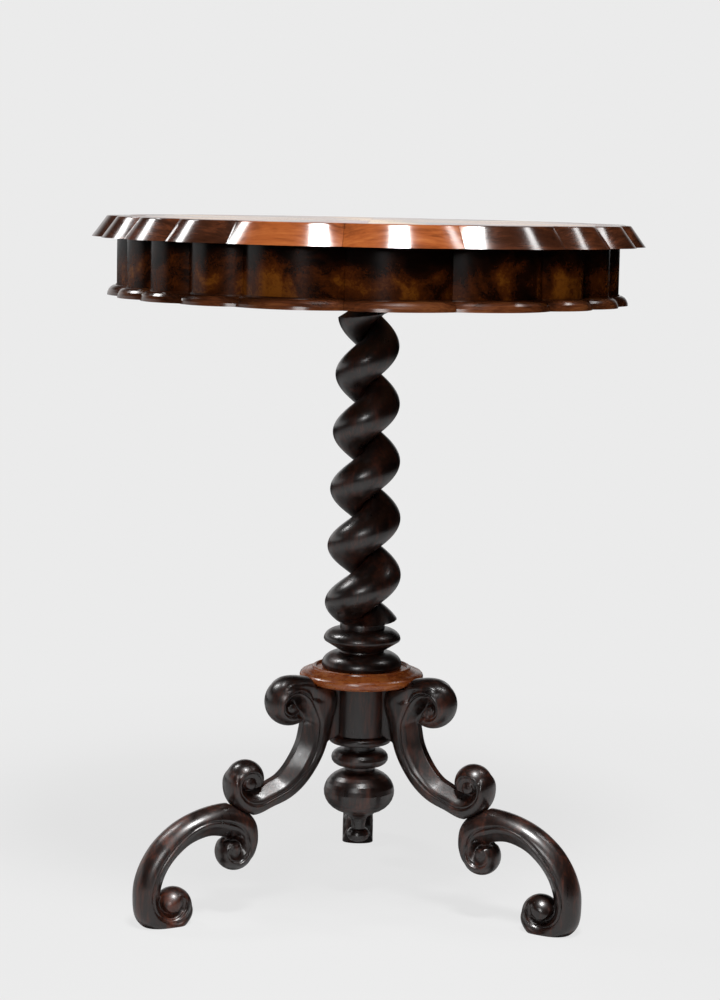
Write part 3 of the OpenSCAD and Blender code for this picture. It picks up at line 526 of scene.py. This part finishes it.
def add(tree, kind, settings=None, links=None):
    """Adds a node to a tree. settings sets its own values or its inputs, and links joins inputs to outputs."""
    node = tree.nodes.new(kind)
    for name, value in (settings or {}).items():
        if isinstance(name, str) and hasattr(node, name):
            setattr(node, name, value)
        else:
            node.inputs[name].default_value = value
    for name, source in (links or {}).items():
        tree.links.new(source, node.inputs[name])
    return node


def new_material(name):
    material = bpy.data.materials.new(name)
    material.use_nodes = True
    material.node_tree.nodes.clear()
    return material, material.node_tree


def ramp(tree, factor, stops):
    """A colour ramp with [place, hex] stops."""
    node = add(tree, "ShaderNodeValToRGB", links={"Fac": factor})
    elements = node.color_ramp.elements
    while len(elements) < len(stops):
        elements.new(0.5)
    for element, (place, code) in zip(elements, stops):
        element.position = place
        element.color = srgb(code)
    return node.outputs["Color"]


# Arc lengths about the column's axis are true at this radius, in metres
ARC_R = 0.16
GRAIN_STRETCH = 9
# Most of the noise lies between these two values, and a wood's colours are spread over them
FIGURE_LOW, FIGURE_HIGH = 0.32, 0.68
BURR_LOW, BURR_HIGH = 0.3, 0.64
# Painted light on the front of the rim: paler copper colour where light falls, in degrees from the middle of
# that part
LIT_FRONT_TO, LIT_FRONT_FULL_TO = 25.5, 23.5
MIDDLE_OF_LIT_FRONT = (-0.059, -0.998, 0)
# Heights in metres between which painted shade darkens the frieze under the rim, most at the top
PAINTED_SHADE_TOP, PAINTED_SHADE_FOOT = 0.706, 0.68


def per_mm(size):
    """Noise scale whose features are about this many millimetres across."""
    return 1 / (size * MM)


def place_in_wood(tree, along):
    """Coordinates in metres in the object's own frame; along is the way of the grain: x, z, or radial and
    round for pieces set about the column's axis."""
    where = add(tree, "ShaderNodeTexCoord").outputs["Object"]
    if along in ("radial", "round"):
        parts = add(tree, "ShaderNodeSeparateXYZ", links={0: where})
        angle = add(tree, "ShaderNodeMath", {"operation": "ARCTAN2"}, {0: parts.outputs[1], 1: parts.outputs[0]})
        flat = add(tree, "ShaderNodeVectorMath", {"operation": "MULTIPLY", 1: (1, 1, 0)}, {0: where})
        radius = add(tree, "ShaderNodeVectorMath", {"operation": "LENGTH"}, {0: flat.outputs[0]})
        arc = add(tree, "ShaderNodeMath", {"operation": "MULTIPLY", 1: ARC_R}, {0: angle.outputs[0]})
        first, second = radius.outputs["Value"], arc.outputs[0]
        if along == "round":
            first, second = second, first
        where = add(tree, "ShaderNodeCombineXYZ", links={0: first, 1: second, 2: parts.outputs[2]}).outputs[0]
    return where


def stretched(tree, where, along, stretch=GRAIN_STRETCH):
    """The same coordinates drawn out along the grain."""
    axis = {"x": 0, "z": 2, "radial": 0, "round": 0}[along]
    scale = [1, 1, 1]
    scale[axis] = 1 / stretch
    return add(tree, "ShaderNodeMapping", {"Scale": scale}, {"Vector": where}).outputs[0]


def toward_front(tree, where, start, full):
    """0 to 1 from start to full, in degrees round from the middle of the front, where light is painted as paler
    colour.
    """
    flat = add(tree, "ShaderNodeVectorMath", {"operation": "MULTIPLY", 1: (1, 1, 0)}, {0: where})
    way = add(tree, "ShaderNodeVectorMath", {"operation": "NORMALIZE"}, {0: flat.outputs[0]})
    facing = add(tree, "ShaderNodeVectorMath", {"operation": "DOT_PRODUCT", 1: MIDDLE_OF_LIT_FRONT},
                 {0: way.outputs[0]})
    return add(tree, "ShaderNodeMapRange", {"From Min": math.cos(math.radians(start)), "To Min": 0,
                                            "From Max": math.cos(math.radians(full)), "To Max": 1},
               {"Value": facing.outputs["Value"]}).outputs[0]


def polished_wood(name, colours, along, figure_mm=14, streak_mm=2.2, streak_share=0.45, polish=0.2,
                  bump_mm=0.05, painted_front_light=None, film=0.5, coat=0.0):
    """French-polished wood: a cloudy figure and darker streaks along the grain under a thin film of shellac,
    with pores that show as a very slight ripple. painted_front_light has paler colours painted on its front as
    the light that falls there, film is how strongly the shellac mirrors, and coat a share of wax over it."""
    material, tree = new_material(name)
    where = place_in_wood(tree, along)
    grain = stretched(tree, where, along)
    cloud = add(tree, "ShaderNodeTexNoise",
                {"Scale": per_mm(figure_mm), "Detail": 5, "Roughness": 0.6, "Distortion": 0.6},
                {"Vector": stretched(tree, where, along, 3)})
    streak = add(tree, "ShaderNodeTexNoise",
                 {"Scale": per_mm(streak_mm), "Detail": 4, "Roughness": 0.65, "Distortion": 0.3},
                 {"Vector": grain})
    blend = add(tree, "ShaderNodeMix", {"data_type": "FLOAT", "Factor": streak_share},
                {"A": cloud.outputs["Fac"], "B": streak.outputs["Fac"]})
    count = len(colours) - 1
    stops = [(FIGURE_LOW + (FIGURE_HIGH - FIGURE_LOW) * i / count, code) for i, code in enumerate(colours)]
    colour = ramp(tree, blend.outputs["Result"], stops)
    # Painted light: the front gets paler colours that stand in for the light falling on it
    if painted_front_light:
        front_light_colour = ramp(tree, blend.outputs["Result"], [(place, code) for (place, _), code in zip(stops, painted_front_light)])
        front = toward_front(tree, add(tree, "ShaderNodeTexCoord").outputs["Object"],
                             LIT_FRONT_TO, LIT_FRONT_FULL_TO)
        colour = add(tree, "ShaderNodeMix", {"data_type": "RGBA"},
                     {"Factor": front, "A": colour, "B": front_light_colour}).outputs["Result"]
    pores = add(tree, "ShaderNodeTexNoise", {"Scale": per_mm(0.7), "Detail": 3}, {"Vector": grain})
    smear = add(tree, "ShaderNodeMapRange", {"From Min": 0.35, "From Max": 0.65, "To Min": polish * 0.8,
                                             "To Max": polish * 1.25}, {"Value": cloud.outputs["Fac"]})
    bump = add(tree, "ShaderNodeBump", {"Strength": 0.25, "Distance": bump_mm * MM},
               {"Height": pores.outputs["Fac"]})
    shader = add(tree, "ShaderNodeBsdfPrincipled",
                 {"IOR": 1.5, "Specular IOR Level": film, "Coat Weight": coat, "Coat Roughness": 0.2},
                 {"Base Color": colour, "Roughness": smear.outputs[0], "Normal": bump.outputs[0]})
    add(tree, "ShaderNodeOutputMaterial", links={"Surface": shader.outputs[0]})
    return material


def burr_veneer(name, colours):
    """Burr veneer under polish: cloudy golden patches in a dark ground, a fine curl over them, and painted shade
    under the rim, darker towards its top."""
    material, tree = new_material(name)
    where = place_in_wood(tree, "z")
    patches = add(tree, "ShaderNodeTexNoise",
                  {"Scale": per_mm(38), "Detail": 5, "Roughness": 0.55, "Distortion": 0.8}, {"Vector": where})
    curls = add(tree, "ShaderNodeTexNoise",
                {"Scale": per_mm(5), "Detail": 4, "Roughness": 0.6, "Distortion": 1.6}, {"Vector": where})
    blend = add(tree, "ShaderNodeMix", {"data_type": "FLOAT", "Factor": 0.25},
                {"A": patches.outputs["Fac"], "B": curls.outputs["Fac"]})
    height = add(tree, "ShaderNodeSeparateXYZ", links={0: where})
    # Painted shade: the colour darkens towards the top of the frieze, under the rim
    painted_shade = add(tree, "ShaderNodeMapRange",
                {"From Min": PAINTED_SHADE_TOP, "From Max": PAINTED_SHADE_FOOT, "To Min": -0.22, "To Max": 0},
                {"Value": height.outputs[2]})
    total = add(tree, "ShaderNodeMath", {"operation": "ADD"}, {0: blend.outputs["Result"], 1: painted_shade.outputs[0]})
    count = len(colours) - 1
    colour = ramp(tree, total.outputs[0], [(BURR_LOW + (BURR_HIGH - BURR_LOW) * i / count, code)
                                           for i, code in enumerate(colours)])
    bump = add(tree, "ShaderNodeBump", {"Strength": 0.2, "Distance": 0.06 * MM},
               {"Height": curls.outputs["Fac"]})
    shader = add(tree, "ShaderNodeBsdfPrincipled", {"IOR": 1.5, "Roughness": 0.2},
                 {"Base Color": colour, "Normal": bump.outputs[0]})
    add(tree, "ShaderNodeOutputMaterial", links={"Surface": shader.outputs[0]})
    return material


def lacquered_brass(name):
    """Aged brass under old lacquer: a warm metal, dulled and darker in patches."""
    material, tree = new_material(name)
    where = place_in_wood(tree, "z")
    tarnish = add(tree, "ShaderNodeTexNoise", {"Scale": per_mm(9), "Detail": 5}, {"Vector": where})
    colour = ramp(tree, tarnish.outputs["Fac"], [(0.35, "7d5c2c"), (0.65, "c79a52")])
    rough = add(tree, "ShaderNodeMapRange", {"To Min": 0.45, "To Max": 0.25}, {"Value": tarnish.outputs["Fac"]})
    shader = add(tree, "ShaderNodeBsdfPrincipled", {"Metallic": 1},
                 {"Base Color": colour, "Roughness": rough.outputs[0]})
    add(tree, "ShaderNodeOutputMaterial", links={"Surface": shader.outputs[0]})
    return material


def steel_screw(name):
    """Plain steel, slightly grey with age."""
    material, tree = new_material(name)
    where = place_in_wood(tree, "z")
    age = add(tree, "ShaderNodeTexNoise", {"Scale": per_mm(3), "Detail": 4}, {"Vector": where})
    colour = ramp(tree, age.outputs["Fac"], [(0.35, "5d5a55"), (0.65, "8d8a84")])
    shader = add(tree, "ShaderNodeBsdfPrincipled", {"Metallic": 1, "Roughness": 0.4}, {"Base Color": colour})
    add(tree, "ShaderNodeOutputMaterial", links={"Surface": shader.outputs[0]})
    return material


# STAGE
BACKGROUND = "ebebeb"
SHADOW_SHARE = 0.12


def make_floor():
    """A pale paper floor, with painted shade: its colour darkens away from the lamps. The camera sees its flat
    tone with a faint shadow under the feet."""
    size = 30
    mesh = bpy.data.meshes.new("floor")
    corners = [(-size, -size, 0), (size, -size, 0), (size, size, 0), (-size, size, 0)]
    mesh.from_pydata(corners, [], [(0, 1, 2, 3)])
    floor = bpy.data.objects.new("floor", mesh)
    floor.location.z = -0.2 * MM
    bpy.context.scene.collection.objects.link(floor)
    material, tree = new_material("paper_floor")
    where = add(tree, "ShaderNodeTexCoord").outputs["Object"]
    away = add(tree, "ShaderNodeVectorMath", {"operation": "LENGTH"}, {0: where})
    edge = add(tree, "ShaderNodeMapRange", {"From Min": 0.9, "From Max": 2.6}, {"Value": away.outputs["Value"]})
    path = add(tree, "ShaderNodeLightPath")
    # Painted shade: the paper's colour darkens from 0.9 m to 2.6 m away from the table, as the lamps' falloff
    lit = ramp(tree, edge.outputs[0], [(0, "b4b4b4"), (1, "1c1c1c")])
    seen_paper = add(tree, "ShaderNodeMix", {"data_type": "RGBA", "B": srgb("d4d4d4")},
                     {"Factor": path.outputs["Is Camera Ray"], "A": lit})
    paper = add(tree, "ShaderNodeBsdfDiffuse", links={"Color": seen_paper.outputs["Result"]})
    tone = add(tree, "ShaderNodeEmission", {"Color": srgb(BACKGROUND), "Strength": 1})
    flat = add(tree, "ShaderNodeMapRange", {"From Min": 0.45, "From Max": 1.1, "To Min": 1 - SHADOW_SHARE,
                                            "To Max": 1}, {"Value": away.outputs["Value"]})
    seen = add(tree, "ShaderNodeMath", {"operation": "MULTIPLY"},
               {0: path.outputs["Is Camera Ray"], 1: flat.outputs[0]})
    both = add(tree, "ShaderNodeMixShader", links={0: seen.outputs[0], 1: paper.outputs[0], 2: tone.outputs[0]})
    add(tree, "ShaderNodeOutputMaterial", links={"Surface": both.outputs[0]})
    mesh.materials.append(material)


def make_world():
    """The camera sees the pale background, and so does the polish where it mirrors the backdrop, which
    stands behind the table and at its left. Light comes from a dim room, paler to the left."""
    world = bpy.data.worlds.new("room")
    world.use_nodes = True
    tree = world.node_tree
    tree.nodes.clear()
    way = add(tree, "ShaderNodeTexCoord").outputs["Generated"]
    parts = add(tree, "ShaderNodeSeparateXYZ", links={0: way})
    side = add(tree, "ShaderNodeMapRange", {"From Min": 0.9, "From Max": -0.9, "To Min": 0, "To Max": 1},
               {"Value": parts.outputs[0]})
    room = ramp(tree, side.outputs[0], [(0, "0a0a0a"), (0.6, "101010"), (1, "282828")])
    path = add(tree, "ShaderNodeLightPath")
    direct = add(tree, "ShaderNodeMath", {"operation": "MAXIMUM"},
                 {0: path.outputs["Is Camera Ray"], 1: path.outputs["Is Transmission Ray"]})
    aside = add(tree, "ShaderNodeVectorMath", {"operation": "DOT_PRODUCT", 1: (-0.6, 0.75, 0)}, {0: way})
    behind = add(tree, "ShaderNodeMapRange", {"From Min": 0.35, "From Max": 0.65, "To Min": 0, "To Max": 1},
                 {"Value": aside.outputs["Value"]})
    level = add(tree, "ShaderNodeMapRange", {"From Min": 0.2, "From Max": 0.34, "To Min": 1, "To Max": 0},
                {"Value": parts.outputs[2]})
    backdrop = add(tree, "ShaderNodeMath", {"operation": "MULTIPLY"},
                   {0: behind.outputs[0], 1: level.outputs[0]})
    mirrored = add(tree, "ShaderNodeMath", {"operation": "MULTIPLY"},
                   {0: path.outputs["Is Glossy Ray"], 1: backdrop.outputs[0]})
    shown = add(tree, "ShaderNodeMath", {"operation": "MAXIMUM"},
                {0: direct.outputs[0], 1: mirrored.outputs[0]})
    pale = add(tree, "ShaderNodeBackground", {"Color": srgb(BACKGROUND), "Strength": 1})
    dim = add(tree, "ShaderNodeBackground", {"Strength": 1}, {"Color": room})
    both = add(tree, "ShaderNodeMixShader", links={0: shown.outputs[0], 1: dim.outputs[0], 2: pale.outputs[0]})
    add(tree, "ShaderNodeOutputWorld", links={"Surface": both.outputs[0]})
    bpy.context.scene.world = world


def lamp(name, at, aim, size, watts):
    """A soft white rectangular lamp, in metres."""
    data = bpy.data.lights.new(name, "AREA")
    data.shape = "RECTANGLE"
    data.size, data.size_y = size
    data.energy = watts
    light = bpy.data.objects.new(name, data)
    bpy.context.scene.collection.objects.link(light)
    light.location = at
    light.rotation_mode = "QUATERNION"
    light.rotation_quaternion = (Vector(aim) - Vector(at)).to_track_quat("-Z", "Y")


def make_lamps():
    """Three boxes overhead, which the rim and the scrolls mirror, and a lower one in front for the frieze."""
    lamp("box_middle", (0.2, -0.95, 2.45), (0, 0, 0.4), (0.5, 0.5), 70)
    lamp("box_left", (-1.45, 0.62, 1.95), (0, 0, 0.5), (0.3, 0.6), 15)
    lamp("box_right", (1.35, 0.15, 2.15), (0, 0, 0.5), (0.2, 0.5), 5)
    lamp("box_front", (-0.6, -2.6, 1.35), (0, 0, 0.55), (0.7, 0.7), 16)


# WOODS

def make_woods():
    return {
        # Rosewood stained nearly black: the film of polish gives it soft white lights
        "dark_wood": polished_wood("french_polished_rosewood_dark", ["040202", "1e0d07", "5a2a18"], "z",
                                   figure_mm=22, streak_mm=3, polish=0.34, film=0.8, coat=0.3),
        # The same wood bleached copper by light on the disc
        "copper_wood": polished_wood("french_polished_rosewood_copper", ["6a2a12", "ac5622", "d08038"], "round",
                                     figure_mm=16, streak_mm=2, polish=0.26, film=0.9),
        # Figured calamander on the rim, under a bright polish, with painted light: paler copper on its front
        "rim_wood": polished_wood("polished_calamander_rim", ["170a05", "341a0e", "5a2f1a"], "round",
                                  figure_mm=18, streak_mm=3, streak_share=0.35, polish=0.15,
                                  painted_front_light=["43200f", "844420", "9c5a2c"]),
        "burr_veneer": burr_veneer("polished_burr_veneer", ["0d0402", "2c1205", "5e2c0c", "96561a"]),
        "moulding_wood": polished_wood("french_polished_moulding", ["241008", "552c16", "7a4826"], "round",
                                       figure_mm=20, streak_mm=2.5, polish=0.2),
        # Carcase mahogany, planed and waxed: no film, so no mirror
        "carcase_wood": polished_wood("waxed_mahogany", ["4a2a16", "6b4124", "855432"], "x",
                                      figure_mm=30, streak_mm=2.5, polish=0.5, bump_mm=0.1),
        "pale_wood": polished_wood("plain_beech", ["9a7048", "b58a5c", "c8a274"], "z", polish=0.55),
        "satinwood": polished_wood("polished_satinwood", ["b0813a", "cf9f52", "e0b96c"], "radial",
                                   figure_mm=12, polish=0.12),
        "ebony": polished_wood("polished_ebony", ["0b0908", "1a1513", "2c2420"], "radial", polish=0.12),
        "calamander": polished_wood("polished_calamander", ["24140c", "6b4026", "9c6a42"], "radial",
                                    figure_mm=16, streak_mm=5, streak_share=0.7, polish=0.12),
        "tamarind": polished_wood("polished_tamarind", ["5a3722", "8a5a38", "b0835a"], "radial",
                                  figure_mm=26, polish=0.12),
        "jak": polished_wood("polished_jak", ["8f5c1c", "b8802e", "d09c44"], "radial", polish=0.12),
        "nedun": polished_wood("polished_nedun", ["4e2a14", "7c4524", "97603a"], "radial", polish=0.12),
        "palmyra": polished_wood("polished_palmyra", ["120c08", "2c1c12", "8a6238"], "radial",
                                 figure_mm=20, streak_mm=1.6, streak_share=0.85, polish=0.12),
        "padouk": polished_wood("polished_padouk", ["4a120a", "7a2412", "9c3c1e"], "radial", polish=0.12),
        "brass": lacquered_brass("lacquered_brass"),
        "steel": steel_screw("steel_screw"),
    }


def dress(woods):
    """Gives each CAD node the material of its slot in the record."""
    for part in frame["record"]["subparts"]:
        node = frame["nodes"][part["node"]]
        for slot in node.material_slots:
            slot.material = woods[part["material_slot"]]


make_camera()
make_floor()
make_world()
make_lamps()
woods = make_woods()
dress(woods)
for piece in turned_and_carved():
    piece.data.materials.clear()
    piece.data.materials.append(woods["dark_wood"])

bpy.context.scene.view_settings.view_transform = "Standard"
